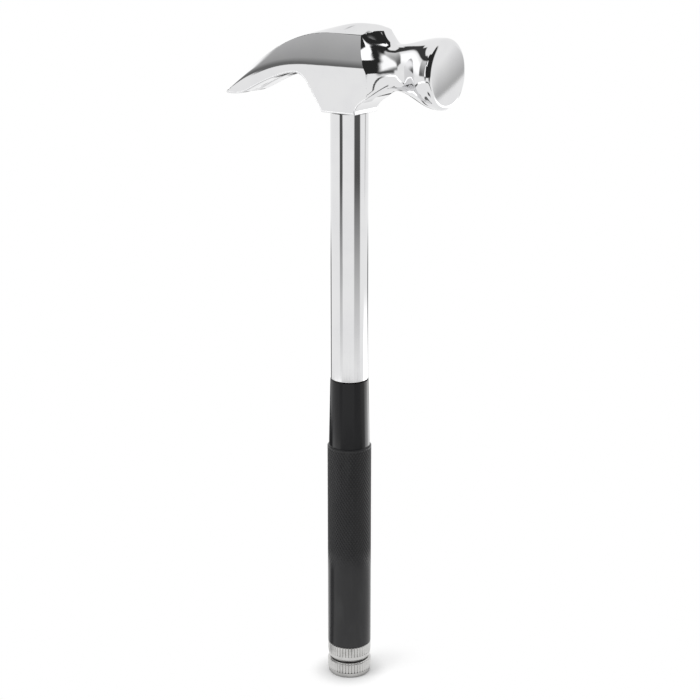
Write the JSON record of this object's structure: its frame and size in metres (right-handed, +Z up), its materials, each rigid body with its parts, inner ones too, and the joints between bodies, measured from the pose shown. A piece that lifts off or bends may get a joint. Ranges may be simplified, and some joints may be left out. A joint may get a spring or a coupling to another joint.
{
  "type": "multi-tool hammer",
  "caption": "Small claw hammer on a chromed tube whose black-sleeved grip screws off as a screwdriver, with smaller screwdrivers nested inside it, each with its own knurled end.",
  "frame": {"origin": "centre of the flat foot, on the axis of the handle", "axes": "+Z up the handle to the head, +X from the handle to the striking face, the claw on the -X side"},
  "size_m": [0.0668, 0.0178, 0.1822],
  "materials": {
    "chrome_head": "mirror chrome over cast steel",
    "chrome_tube": "mirror chrome on drawn tube",
    "black_skin": "black plastic skin, embossed on the upper hand area, glossy on the nose",
    "nickel_knob": "satin nickel over turned and knurled steel",
    "barrel_steel": "bright drawn steel",
    "blade_steel": "ground tool steel",
    "turned_brass": "turned brass"
  },
  "bodies": {
    "end_driver": {"end_driver_knob": "nickel_knob", "end_driver_blade": "blade_steel"},
    "slim_driver": {"slim_driver_knob": "nickel_knob", "slim_driver_barrel": "barrel_steel", "slim_driver_blade": "blade_steel"},
    "middle_driver": {"middle_driver_knob": "nickel_knob", "middle_driver_barrel": "barrel_steel", "middle_driver_blade": "blade_steel"},
    "grip_driver": {"grip_sleeve": "black_skin", "grip_barrel": "barrel_steel", "grip_nose_plug": "barrel_steel", "grip_driver_blade": "blade_steel", "grip_thread_bush": "turned_brass"},
    "hammer": {"hammer_head": "chrome_head", "shaft_tube": "chrome_tube", "shaft_thread_bush": "turned_brass"}
  },
  "joints": [
    {"name": "slim_off_end", "type": "slide", "parent": "end_driver", "child": "slim_driver", "axis": [0, 0, 1], "range_m": [0, 0.033]},
    {"name": "middle_off_slim", "type": "slide", "parent": "slim_driver", "child": "middle_driver", "axis": [0, 0, 1], "range_m": [0, 0.046]},
    {"name": "grip_off_middle", "type": "slide", "parent": "middle_driver", "child": "grip_driver", "axis": [0, 0, 1], "range_m": [0, 0.066]},
    {"name": "hammer_off_grip", "type": "slide", "parent": "grip_driver", "child": "hammer", "axis": [0, 0, 1], "range_m": [0, 0.06]}
  ]
}
